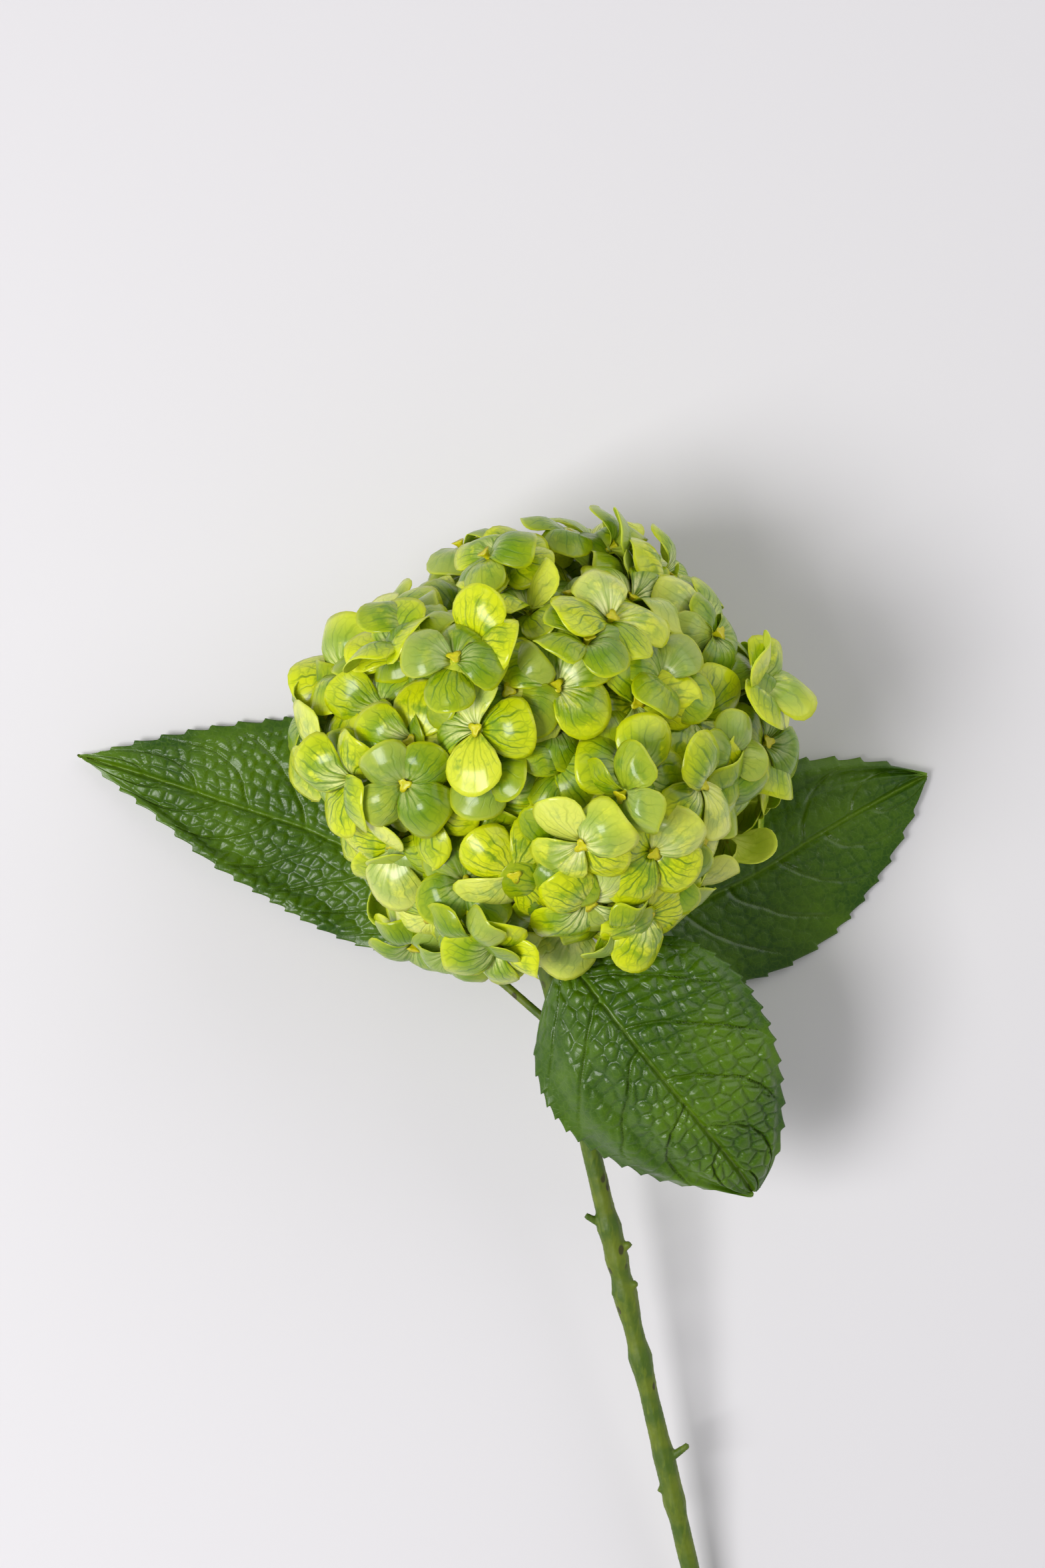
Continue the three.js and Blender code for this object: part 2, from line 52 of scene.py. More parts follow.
class Field:
    """A value or a direction that varies over a surface, built up as Math nodes."""

    def __init__(self, socket):
        self.socket = socket
        self.tree = socket.id_data

    def __add__(self, other):
        return combine(self.tree, "ADD", self, other)

    def __radd__(self, other):
        return combine(self.tree, "ADD", other, self)

    def __sub__(self, other):
        return combine(self.tree, "SUBTRACT", self, other)

    def __rsub__(self, other):
        return combine(self.tree, "SUBTRACT", other, self)

    def __mul__(self, other):
        if self.is_direction() and not is_direction(other):
            node = self.tree.nodes.new("ShaderNodeVectorMath")
            node.operation = "SCALE"
            feed(self, node.inputs[0])
            feed(other, node.inputs["Scale"])
            return Field(node.outputs["Vector"])
        return combine(self.tree, "MULTIPLY", self, other)

    def __rmul__(self, other):
        return self * other

    def __truediv__(self, other):
        return combine(self.tree, "DIVIDE", self, other)

    def __pow__(self, other):
        return combine(self.tree, "POWER", self, other)

    def is_direction(self):
        return self.socket.type == "VECTOR"

    def sin(self):
        return combine(self.tree, "SINE", self)

    def cos(self):
        return combine(self.tree, "COSINE", self)

    def exp(self):
        return combine(self.tree, "EXPONENT", self)

    def size(self):
        return combine(self.tree, "ABSOLUTE", self)

    def fract(self):
        return combine(self.tree, "FRACT", self)

    def over(self, limit):
        return combine(self.tree, "GREATER_THAN", self, limit)

    def least(self, other):
        return combine(self.tree, "MINIMUM", self, other)

    def most(self, other):
        return combine(self.tree, "MAXIMUM", self, other)

    def unit(self):
        return combine(self.tree, "NORMALIZE", self)

    def cross(self, other):
        return combine(self.tree, "CROSS_PRODUCT", self, other)

    def ramp(self, low, high, at_low=0.0, at_high=1.0):
        """Eases from at_low to at_high as the value goes from low to high."""
        node = self.tree.nodes.new("ShaderNodeMapRange")
        node.interpolation_type = "SMOOTHSTEP"
        for label, value in (
            ("Value", self),
            ("From Min", low),
            ("From Max", high),
            ("To Min", at_low),
            ("To Max", at_high),
        ):
            feed(value, node.inputs[label])
        return Field(node.outputs["Result"])

    def parts(self):
        node = self.tree.nodes.new("ShaderNodeSeparateXYZ")
        feed(self, node.inputs[0])
        return [Field(output) for output in node.outputs]


def is_direction(value):
    return value.is_direction() if isinstance(value, Field) else isinstance(value, (tuple, Vector))


def feed(value, socket):
    """Gives a socket its value: a link from a field, or a plain number, vector or material."""
    if isinstance(value, Field):
        value.tree.links.new(value.socket, socket)
    else:
        socket.default_value = value


def combine(tree, operation, *values):
    directions = any(is_direction(value) for value in values)
    node = tree.nodes.new("ShaderNodeVectorMath" if directions else "ShaderNodeMath")
    node.operation = operation
    for value, socket in zip(values, node.inputs):
        feed(value, socket)
    return Field(node.outputs[0])


def noise(place, scale, detail=2.0, roughness=0.5):
    """Soft random variation round 0.5."""
    node = place.tree.nodes.new("ShaderNodeTexNoise")
    feed(place, node.inputs["Vector"])
    node.inputs["Scale"].default_value = scale
    node.inputs["Detail"].default_value = detail
    node.inputs["Roughness"].default_value = roughness
    return Field(node.outputs[0])


def cell_centres(place, scale=1.0, randomness=1.0):
    """Distance to the middle of the nearest of the irregular cells."""
    node = place.tree.nodes.new("ShaderNodeTexVoronoi")
    feed(place, node.inputs["Vector"])
    node.inputs["Scale"].default_value = scale
    node.inputs["Randomness"].default_value = randomness
    return Field(node.outputs["Distance"])


def node_in(tree, kind, inputs=(), **settings):
    """A node with its settings, and its inputs by name."""
    node = tree.nodes.new(kind)
    for name, value in settings.items():
        setattr(node, name, value)
    for label, value in dict(inputs).items():
        feed(value, node.inputs[label])
    return node


def new_tree(name, kind, inputs, outputs):
    """A node tree with named inputs and outputs, its inputs as fields, and its output node."""
    tree = bpy.data.node_groups.new(name, kind)
    if kind == "GeometryNodeTree":
        tree.is_modifier = True
    for label, (socket_kind, default) in inputs.items():
        socket = tree.interface.new_socket(label, in_out="INPUT", socket_type="NodeSocket" + socket_kind)
        if default is not None:
            socket.default_value = default
    for label, socket_kind in outputs.items():
        tree.interface.new_socket(label, in_out="OUTPUT", socket_type="NodeSocket" + socket_kind)
    entry = tree.nodes.new("NodeGroupInput")
    return tree, {label: Field(entry.outputs[label]) for label in inputs}, tree.nodes.new("NodeGroupOutput")


def finished(geometry, exit_node, material=None):
    """Ends a geometry tree: no instances, smooth faces, and a material unless each face has one."""
    tree = geometry.tree
    plain = node_in(tree, "GeometryNodeRealizeInstances", {"Geometry": geometry}).outputs[0]
    smooth = node_in(tree, "GeometryNodeSetShadeSmooth", {"Geometry": Field(plain)}).outputs[0]
    if material is not None:
        inputs = {"Geometry": Field(smooth), "Material": material}
        smooth = node_in(tree, "GeometryNodeSetMaterial", inputs).outputs[0]
    feed(Field(smooth), exit_node.inputs["Geometry"])


def grown(name, mesh, tree, values):
    """A new piece: the tree's result on a mesh, with the tree's inputs set by name."""
    piece = bpy.data.objects.new(name, mesh)
    bpy.context.scene.collection.objects.link(piece)
    modifier = piece.modifiers.new("Growth", "NODES")
    modifier.node_group = tree
    for item in tree.interface.items_tree:
        if item.item_type == "SOCKET" and item.in_out == "INPUT" and item.name in values:
            modifier[item.identifier] = values[item.name]
    depsgraph = bpy.context.evaluated_depsgraph_get()
    result = bpy.data.meshes.new_from_object(
        piece.evaluated_get(depsgraph), preserve_all_data_layers=True, depsgraph=depsgraph
    )
    piece.modifiers.clear()
    piece.data = result
    result.name = name
    return piece


def merged_copy(node):
    """The mesh of a CAD node as one connected surface."""
    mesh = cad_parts[node].data.copy()
    surface = bmesh.new()
    surface.from_mesh(mesh)
    bmesh.ops.remove_doubles(surface, verts=surface.verts, dist=0.002 * MM)
    surface.to_mesh(mesh)
    surface.free()
    mesh.materials.clear()
    return mesh


def rounded_copy(name, node, voxel, passes):
    """A CAD node's shape with its facets and joints rounded off."""
    piece = bpy.data.objects.new(name, merged_copy(node))
    bpy.context.scene.collection.objects.link(piece)
    remesh = piece.modifiers.new("Even", "REMESH")
    remesh.mode = "VOXEL"
    remesh.voxel_size = voxel
    smooth = piece.modifiers.new("Round", "SMOOTH")
    smooth.factor = 0.6
    smooth.iterations = passes
    depsgraph = bpy.context.evaluated_depsgraph_get()
    mesh = bpy.data.meshes.new_from_object(piece.evaluated_get(depsgraph))
    bpy.data.objects.remove(piece)
    return mesh


def new_material(name):
    """An empty material, its Principled BSDF, and the Object coordinates as a field."""
    material = bpy.data.materials.new(name)
    material.use_nodes = True
    tree = material.node_tree
    shader = next(node for node in tree.nodes if node.type == "BSDF_PRINCIPLED")
    return material, shader, Field(tree.nodes.new("ShaderNodeTexCoord").outputs["Object"])


def blend(tree, share, colour, other):
    """Mixes two colours, or colour fields, by a share from 0 to 1."""
    node = node_in(tree, "ShaderNodeMix", data_type="RGBA")
    feed(share, node.inputs[0])
    for value, socket in ((colour, node.inputs[6]), (other, node.inputs[7])):
        feed(value if isinstance(value, Field) else (*value, 1.0), socket)
    return Field(node.outputs[2])


def bump(shader, height, distance, strength):
    inputs = {"Height": height, "Distance": distance, "Strength": strength}
    node = node_in(height.tree, "ShaderNodeBump", inputs)
    feed(Field(node.outputs[0]), shader.inputs["Normal"])


bark, bark_shader, place = new_material("stem bark")
tree = bark.node_tree
fine = noise(place, 900, 3.0)
patches = noise(place, 90, 3.0)
streaks = noise(place * Vector((1.0, 0.16, 1.0)), 700, 2.0)
specks = cell_centres(place * Vector((1.0, 0.55, 1.0)), 210, 1.0)
speck_mask = specks.ramp(0.17, 0.27, 1.0, 0.0) * patches.ramp(0.44, 0.56)
colour = blend(tree, patches.ramp(0.35, 0.65), (0.06, 0.12, 0.001), (0.13, 0.18, 0.003))
colour = blend(tree, streaks.ramp(0.5, 0.7) * 0.5, colour, (0.17, 0.23, 0.008))
colour = blend(tree, speck_mask * 0.85, colour, (0.03, 0.022, 0.003))
feed(colour, bark_shader.inputs["Base Color"])
feed(fine.ramp(0.3, 0.7, 0.5, 0.66), bark_shader.inputs["Roughness"])
bump(bark_shader, streaks * 0.5 + fine * 0.25 + speck_mask * 0.5, 0.25 * MM, 0.8)

bark_tree, given, exit_node = new_tree(
    "Stem bark",
    "GeometryNodeTree",
    {
        "Geometry": ("Geometry", None),
        "Lumps": ("Float", 0.4 * MM),
        "Knobs": ("Float", 0.35 * MM),
        "Material": ("Material", None),
    },
    {"Geometry": "Geometry"},
)
place = Field(bark_tree.nodes.new("GeometryNodeInputPosition").outputs[0])
normal = Field(bark_tree.nodes.new("GeometryNodeInputNormal").outputs[0])
lumps = noise(place, 70, 2.0) - 0.5
knobs = cell_centres(place * Vector((1.0, 0.7, 1.0)), 170).ramp(0.15, 0.5, 1.0, 0.0)
knobs = knobs * noise(place, 45, 1.0).ramp(0.5, 0.65)
offset = normal * (lumps * 2.0 * given["Lumps"] + knobs * given["Knobs"])
moved = node_in(bark_tree, "GeometryNodeSetPosition", {"Geometry": given["Geometry"], "Offset": offset})
finished(Field(moved.outputs[0]), exit_node, given["Material"])

stem = grown("stem_cane", rounded_copy("stem_cane", "stem", 0.55 * MM, 6), bark_tree, {"Material": bark})
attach(stem, "root")
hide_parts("stem")

# ---- Side stalk ------------------------------------------------------------------------
# A thinner shoot that leaves the cane under the head and was cut off short, so that it
# ends in a plain flat face. It has the cane's own bark.

side_stalk_mesh = rounded_copy("cut_side_stalk", "side_stalk", 0.4 * MM, 3)
side_stalk = grown("cut_side_stalk", side_stalk_mesh, bark_tree, {"Material": bark, "Lumps": 0.2 * MM})
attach(side_stalk, "root")
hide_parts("side_stalk")

# ---- Rays of the flower head -----------------------------------------------------------
# The pale green branches inside the head. They part from the hub at the top of the cane
# and each ends in the stalks of a few cymes. They are soft tissue with a matte skin.

stalk_skin, stalk_shader, place = new_material("stalk skin")
mottle = noise(place, 160, 2.0)
colour = blend(stalk_skin.node_tree, mottle.ramp(0.35, 0.65), (0.30, 0.42, 0.045), (0.42, 0.52, 0.09))
feed(colour, stalk_shader.inputs["Base Color"])
feed(mottle.ramp(0.3, 0.7, 0.42, 0.55), stalk_shader.inputs["Roughness"])
bump(stalk_shader, noise(place * Vector((1.0, 1.0, 0.3)), 900, 2.0), 0.08 * MM, 0.5)

for name in sorted(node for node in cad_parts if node.startswith("flower_ray")):
    label = name.replace("flower_ray", "ray")
    mesh = rounded_copy(label, name, 0.4 * MM, 8)
    ray = grown(label, mesh, bark_tree, {"Material": stalk_skin, "Lumps": 0.1 * MM, "Knobs": 0.0})
    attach(ray, "root")
    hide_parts(name)

# ---- Leaves ----------------------------------------------------------------------------
# Three toothed leaves, each one blade on a petiole that goes on as its midrib. The blade is
# quilted: its cells bulge up between the sunk veins. Its upper skin is glossy and deep
# green, and its underside is paler and matte.


def together(tree, x, y, z=0.0):
    node = tree.nodes.new("ShaderNodeCombineXYZ")
    for value, socket in zip((x, y, z), node.inputs):
        feed(value, socket)
    return Field(node.outputs[0])


def cell_edges(place, scale=1.0, randomness=1.0, flat=False):
    """Distance to the nearest border between irregular cells, 0 on the border."""
    node = place.tree.nodes.new("ShaderNodeTexVoronoi")
    node.feature = "DISTANCE_TO_EDGE"
    node.voronoi_dimensions = "2D" if flat else "3D"
    feed(place, node.inputs["Vector"])
    node.inputs["Scale"].default_value = scale
    node.inputs["Randomness"].default_value = randomness
    return Field(node.outputs["Distance"])


def named(tree, name, kind="FLOAT"):
    """A field that reads a named attribute in a geometry tree."""
    node = node_in(tree, "GeometryNodeInputNamedAttribute", {"Name": name}, data_type=kind)
    return Field(node.outputs["Attribute"])


def stored(geometry, name, value, kind="FLOAT", domain="POINT"):
    inputs = {"Geometry": geometry, "Name": name, "Value": value}
    node = node_in(geometry.tree, "GeometryNodeStoreNamedAttribute", inputs, data_type=kind, domain=domain)
    return Field(node.outputs["Geometry"])


def placed_at(geometry, place):
    """Moves each point of a geometry to its place."""
    inputs = {"Geometry": geometry, "Position": place}
    return Field(node_in(geometry.tree, "GeometryNodeSetPosition", inputs).outputs[0])


def placed_group(tree, group, inputs):
    """Puts a shader node group in a material. Gives its outputs as fields by their names."""
    node = tree.nodes.new("ShaderNodeGroup")
    node.node_tree = group
    for label, value in inputs.items():
        feed(value, node.inputs[label])
    return {output.name: Field(output) for output in node.outputs}


leaf_grain, given, exit_node = new_tree(
    "Leaf grain",
    "ShaderNodeTree",
    {"Place": ("Vector", None), "Net Width": ("Float", 0.12)},
    {"Patches": "Float", "Grain": "Float", "Net": "Float"},
)
feed(noise(given["Place"], 28, 3.0), exit_node.inputs["Patches"])
feed(noise(given["Place"], 650, 3.0, 0.6), exit_node.inputs["Grain"])
feed(cell_edges(given["Place"], 420).ramp(0.0, given["Net Width"], 1.0, 0.0), exit_node.inputs["Net"])


def leaf_material(name, dark, light, vein, roughness, coat):
    material, shader, place = new_material(name)
    tree = material.node_tree
    vein_mask = node_in(tree, "ShaderNodeAttribute", attribute_name="vein", attribute_type="GEOMETRY")
    quilt = node_in(tree, "ShaderNodeAttribute", attribute_name="quilt", attribute_type="GEOMETRY")
    vein_mask = Field(vein_mask.outputs["Fac"])
    quilt = Field(quilt.outputs["Fac"])
    skin = placed_group(tree, leaf_grain, {"Place": place})
    fine, net = skin["Grain"], skin["Net"]
    colour = blend(tree, skin["Patches"].ramp(0.35, 0.66), dark, light)
    # The bulging cells are painted lighter towards their tops: a painted highlight.
    colour = blend(tree, quilt.ramp(0.0, 1.0) * 0.35, colour, light)
    colour = blend(tree, fine.ramp(0.45, 0.7) * 0.2, colour, light)
    colour = blend(tree, net * 0.12, colour, vein)
    colour = blend(tree, vein_mask * 0.75, colour, vein)
    feed(colour, shader.inputs["Base Color"])
    feed(fine.ramp(0.3, 0.7, roughness, roughness + 0.12), shader.inputs["Roughness"])
    shader.inputs["Coat Weight"].default_value = coat
    shader.inputs["Coat Roughness"].default_value = 0.22
    shader.inputs["Specular IOR Level"].default_value = 0.35
    bump(shader, fine * 0.5 + net * -0.5, 0.12 * MM, 0.55)
    return material


leaf_face = leaf_material(
    "leaf upper skin",
    dark=(0.022, 0.075, 0.0005),
    light=(0.085, 0.18, 0.001),
    vein=(0.16, 0.28, 0.008),
    roughness=0.3,
    coat=0.2,
)
leaf_back = leaf_material(
    "leaf underside",
    dark=(0.09, 0.20, 0.004),
    light=(0.15, 0.29, 0.008),
    vein=(0.24, 0.36, 0.02),
    roughness=0.5,
    coat=0.0,
)

thicken_tree, given, exit_node = new_tree(
    "Two-sided skin",
    "GeometryNodeTree",
    {
        "Geometry": ("Geometry", None),
        "Thickness": ("Float", 0.5 * MM),
        "Face": ("Material", None),
        "Back": ("Material", None),
        "Rim": ("Material", None),
    },
    {"Geometry": "Geometry"},
)
# The given surface is the face. Its back is a copy pushed inwards, joined to it at the rim.
pushed = node_in(
    thicken_tree,
    "GeometryNodeExtrudeMesh",
    {"Mesh": given["Geometry"], "Offset Scale": given["Thickness"] * -1.0, "Individual": False},
)
back = node_in(
    thicken_tree,
    "GeometryNodeSetMaterial",
    {"Geometry": Field(pushed.outputs["Mesh"]), "Material": given["Back"]},
)
rim = node_in(
    thicken_tree,
    "GeometryNodeSetMaterial",
    {
        "Geometry": Field(back.outputs[0]),
        "Selection": Field(pushed.outputs["Side"]),
        "Material": given["Rim"],
    },
)
turned = node_in(thicken_tree, "GeometryNodeFlipFaces", {"Mesh": Field(rim.outputs[0])})
face = node_in(
    thicken_tree, "GeometryNodeSetMaterial", {"Geometry": given["Geometry"], "Material": given["Face"]}
)
both = thicken_tree.nodes.new("GeometryNodeJoinGeometry")
for side in (face, turned):
    thicken_tree.links.new(side.outputs[0], both.inputs[0])
closed = node_in(
    thicken_tree,
    "GeometryNodeMergeByDistance",
    {"Geometry": Field(both.outputs[0]), "Distance": 0.001 * MM},
)
feed(Field(closed.outputs[0]), exit_node.inputs["Geometry"])


def with_thickness(geometry, thickness, face, back, rim):
    tree = geometry.tree
    group = tree.nodes.new("GeometryNodeGroup")
    group.node_tree = thicken_tree
    labels = ("Geometry", "Thickness", "Face", "Back", "Rim")
    for label, value in zip(labels, (geometry, thickness, face, back, rim)):
        feed(value, group.inputs[label])
    return Field(group.outputs["Geometry"])


blade_tree, given, exit_node = new_tree(
    "Leaf blade",
    "GeometryNodeTree",
    {
        "Geometry": ("Geometry", None),
        "Left Width": ("Float", 38 * MM),
        "Right Width": ("Float", 38 * MM),
        "Base Fullness": ("Float", 0.8),
        "Tip Fullness": ("Float", 1.0),
        "Left Drop": ("Float", 5 * MM),
        "Right Drop": ("Float", 5 * MM),
        "Left Curl": ("Float", 0.0),
        "Right Curl": ("Float", 0.0),
        "Vein Pairs": ("Float", 8.0),
        "Vein Lead": ("Float", 0.24),
        "Quilting": ("Float", 1.2 * MM),
        "Left Outer Quilting": ("Float", 1.0),
        "Right Outer Quilting": ("Float", 1.0),
        "Left Folds": ("Float", 0.0),
        "Right Folds": ("Float", 0.0),
        "Cell": ("Float", 5.5 * MM),
        "Teeth": ("Float", 24.0),
        "Tooth": ("Float", 1.8 * MM),
        "Waves": ("Float", 2.0 * MM),
        "Thickness": ("Float", 0.55 * MM),
        "Face": ("Material", None),
        "Back": ("Material", None),
    },
    {"Geometry": "Geometry"},
)
tree = blade_tree
line = node_in(tree, "GeometryNodeMeshToCurve", {"Mesh": given["Geometry"]}).outputs[0]
line = node_in(
    tree, "GeometryNodeCurveSplineType", {"Curve": Field(line)}, spline_type="CATMULL_ROM"
).outputs[0]
line = node_in(
    tree, "GeometryNodeSetSplineResolution", {"Geometry": Field(line), "Resolution": 16}
).outputs[0]
line = Field(line)
length = Field(node_in(tree, "GeometryNodeCurveLength", {"Curve": line}).outputs[0])
sheet = node_in(
    tree,
    "GeometryNodeMeshGrid",
    {"Size X": 1.0, "Size Y": 1.0, "Vertices X": 216, "Vertices Y": 111},
)
at_x, at_y, _ = Field(tree.nodes.new("GeometryNodeInputPosition").outputs[0]).parts()
along = (at_x + 0.5).least(0.9985).most(0.0015)
across = at_y * 2.0
edge = across.size()
left = across.over(0.0)

# The outline: a half width along the midrib, drawn out into teeth that lean to the tip.
base_fullness, tip_fullness = given["Base Fullness"], given["Tip Fullness"]
widest = base_fullness / (base_fullness + tip_fullness)
peak = widest**base_fullness * (1.0 - widest) ** tip_fullness
share = along**base_fullness * (1.0 - along) ** tip_fullness / peak
half_width = share * (given["Left Width"] * left + given["Right Width"] * (1.0 - left))
tooth_place = (along + noise(together(tree, along * 9.0, left * 5.0), 1.0, 1.0) * 0.03) * given["Teeth"]
tooth = tooth_place.fract() ** 1.7 * tooth_place.fract().ramp(0.84, 1.0, 1.0, 0.0) * edge**14.0
tooth = tooth * along.ramp(0.08, 0.2) * along.ramp(0.9, 0.97, 1.0, 0.0)
reach = edge * half_width + tooth * given["Tooth"]
curl_side = given["Left Curl"] * left + given["Right Curl"] * (1.0 - left)
curled = edge.ramp(0.62, 1.0) * curl_side * along.ramp(0.15, 0.4) * along.ramp(0.75, 0.95, 1.0, 0.0)
reach = reach - curled.size() * 0.45

# Veins: pairs of side veins lean towards the tip, and the cells lie between them.
vein_place = (along - edge**1.5 * given["Vein Lead"] + 0.03) * given["Vein Pairs"] + left * 0.45
vein_place = vein_place + (noise(together(tree, along * 4.0, across * 1.5), 1.0) - 0.5) * 0.35
vein_gap = length / given["Vein Pairs"]
from_vein = ((vein_place + 0.5).fract() - 0.5).size() * vein_gap
side_vein = ((from_vein / (0.75 * MM)) ** 2.0 * -1.0).exp() * edge.ramp(0.75, 0.98, 1.0, 0.25)
midrib = ((reach / (1.1 * MM)) ** 2.0 * -1.0).exp()
cell_place = together(
    tree, (along * length - reach * 0.3) / given["Cell"] + left * 5.3, reach / given["Cell"] + left * 7.3
)
cell_border = cell_edges(cell_place, 1.0, 0.7, flat=True)
margin = (half_width - reach).ramp(1.5 * MM, 5.0 * MM)
inside = (1.0 - side_vein) * (1.0 - midrib) * margin * along.ramp(0.86, 0.99, 1.0, 0.2)
outer_quilting = given["Left Outer Quilting"] * left + given["Right Outer Quilting"] * (1.0 - left)
inside = inside * (1.0 - (1.0 - outer_quilting) * edge.ramp(0.3, 0.7))
quilt = (1.0 - (1.0 - (cell_border / 0.4).least(1.0)) ** 2.4) * inside
fold_size = given["Left Folds"] * left + given["Right Folds"] * (1.0 - left)
folds = (edge * 15.0 - along * 6.0).sin() * edge.ramp(0.25, 0.6) * along.ramp(0.1, 0.35) * fold_size

drop = share * edge**1.7 * (given["Left Drop"] * left + given["Right Drop"] * (1.0 - left))
wave = (noise(together(tree, along * 5.0, across * 1.2 + 3.0), 1.0, 1.0) - 0.5) * edge * given["Waves"] * 2.0
height = (
    quilt * given["Quilting"]
    - side_vein * (given["Quilting"] * 0.3 + 0.5 * MM)
    - midrib * 1.1 * MM
    + edge.ramp(0.0, 0.25) * 0.8 * MM
    - drop
    + wave * share
    + folds
    + curled
)
sampled = node_in(
    tree,
    "GeometryNodeSampleCurve",
    {"Curves": line, "Factor": (along + tooth * 0.15 / given["Teeth"]).least(0.9995)},
    mode="FACTOR",
    use_all_curves=True,
)
tangent = Field(sampled.outputs["Tangent"])
sideways = combine(tree, "CROSS_PRODUCT", Vector((0, 0, 1)), tangent).unit()
upwards = tangent.cross(sideways)
side_sign = left * 2.0 - 1.0
placed = Field(sampled.outputs["Position"]) + sideways * (reach * side_sign) + upwards * height

surface = Field(sheet.outputs["Mesh"])
surface = stored(surface, "vein", (midrib**3.0 * 0.8).most(side_vein**2.0 * 0.35))
surface = stored(surface, "quilt", quilt)
surface = stored(surface, "UVMap", together(tree, at_x + 0.5, at_y + 0.5), "FLOAT2", "CORNER")
surface = placed_at(surface, placed)
surface = Field(
    node_in(tree, "GeometryNodeMergeByDistance", {"Geometry": surface, "Distance": 0.06 * MM}).outputs[0]
)
finished(with_thickness(surface, given["Thickness"], given["Face"], given["Back"], given["Back"]), exit_node)

stalk_tree, given, exit_node = new_tree(
    "Stalk along a line",
    "GeometryNodeTree",
    {"Geometry": ("Geometry", None), "Sides": ("Int", 8), "Material": ("Material", None)},
    {"Geometry": "Geometry"},
)
line = node_in(stalk_tree, "GeometryNodeMeshToCurve", {"Mesh": given["Geometry"]})
ring = node_in(stalk_tree, "GeometryNodeCurvePrimitiveCircle", {"Resolution": given["Sides"], "Radius": 1.0})
tube = node_in(
    stalk_tree,
    "GeometryNodeCurveToMesh",
    {
        "Curve": Field(line.outputs[0]),
        "Profile Curve": Field(ring.outputs[0]),
        "Scale": named(stalk_tree, "girth"),
        "Fill Caps": True,
    },
)
finished(Field(tube.outputs[0]), exit_node, given["Material"])


def line_mesh(name, runs):
    """Open lines as a mesh. Each run is a list of (point, girth)."""
    mesh = bpy.data.meshes.new(name)
    points = [point for run in runs for point, _ in run]
    edges = []
    start = 0
    for run in runs:
        edges += [(start + i, start + i + 1) for i in range(len(run) - 1)]
        start += len(run)
    mesh.from_pydata(points, edges, [])
    girth = mesh.attributes.new("girth", "FLOAT", "POINT")
    girth.data.foreach_set("value", [size for run in runs for _, size in run])
    return mesh


def eased_line(points, steps):
    """Points along the smooth curve through the given ones."""
    padded = [points[0] * 2 - points[1], *points, points[-1] * 2 - points[-2]]
    curve = []
    for a, b, c, d in zip(padded, padded[1:], padded[2:], padded[3:]):
        for step in range(steps):
            t = step / steps
            square = (a * 2 - b * 5 + c * 4 - d) * t**2
            cube = (b * 3 - a - c * 3 + d) * t**3
            curve.append((b * 2 + (c - a) * t + square + cube) / 2)
    return [*curve, points[-1]]


def joined_piece(name, pieces):
    """Several objects as one mesh."""
    with bpy.context.temp_override(active_object=pieces[0], selected_editable_objects=pieces):
        bpy.ops.object.join()
    pieces[0].name = name
    pieces[0].data.name = name
    return pieces[0]


def leaf(name, spine, shape):
    """A leaf on its CAD node. The spine is the petiole's two points, then the midrib's, each
    as a share of the node's box."""
    low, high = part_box(name)
    size = Vector(high) - Vector(low)
    points = [Vector(low) + Vector(p) * size for p in spine]
    label = name.replace("leaf_", "blade_")
    midrib = line_mesh(label, [[(point, 0.0) for point in points[2:]]])
    blade = grown(label, midrib, blade_tree, {"Face": leaf_face, "Back": leaf_back, **shape})
    rib = eased_line(points, 8)
    sunk = [p - Vector((0, 0, 2.6 * MM)) * min(1.0, max(0.0, i - 10) / 6) for i, p in enumerate(rib)]
    girths = [(2.1 - 1.6 * i / len(rib)) * MM for i in range(len(rib))]
    rib_line = line_mesh(label, [list(zip(sunk, girths))[:-6]])
    ribs = grown(label + "_rib", rib_line, stalk_tree, {"Sides": 12, "Material": leaf_back})
    piece = joined_piece(label, [blade, ribs])
    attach(piece, "root")
    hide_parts(name)


leaf(
    "leaf_left",
    [
        (0.990, 0.025, 0.982), (0.895, 0.028, 0.449), (0.853, 0.095, 0.385), (0.704, 0.333, 0.158),
        (0.520, 0.544, 0.103), (0.331, 0.674, 0.103), (0.142, 0.799, 0.094), (-0.010, 0.888, 0.058),
    ],
    {
        "Left Width": 33 * MM, "Right Width": 43 * MM, "Base Fullness": 0.8, "Tip Fullness": 1.3,
        "Left Curl": 5 * MM, "Quilting": 1.0 * MM, "Vein Pairs": 8.0, "Teeth": 20.0, "Cell": 5.0 * MM,
    },
)
leaf(
    "leaf_right",
    [
        (0.013, 0.128, 0.985), (0.089, 0.120, 0.521), (0.146, 0.167, 0.441), (0.314, 0.309, 0.201),
        (0.538, 0.485, 0.109), (0.709, 0.662, 0.109), (0.874, 0.820, 0.091), (1.005, 0.935, 0.054),
    ],
    {
        "Left Width": 37 * MM, "Right Width": 36 * MM, "Base Fullness": 0.75, "Tip Fullness": 0.95,
        "Quilting": 0.3 * MM, "Vein Pairs": 7.0, "Teeth": 17.0, "Left Folds": 1.2 * MM,
    },
)
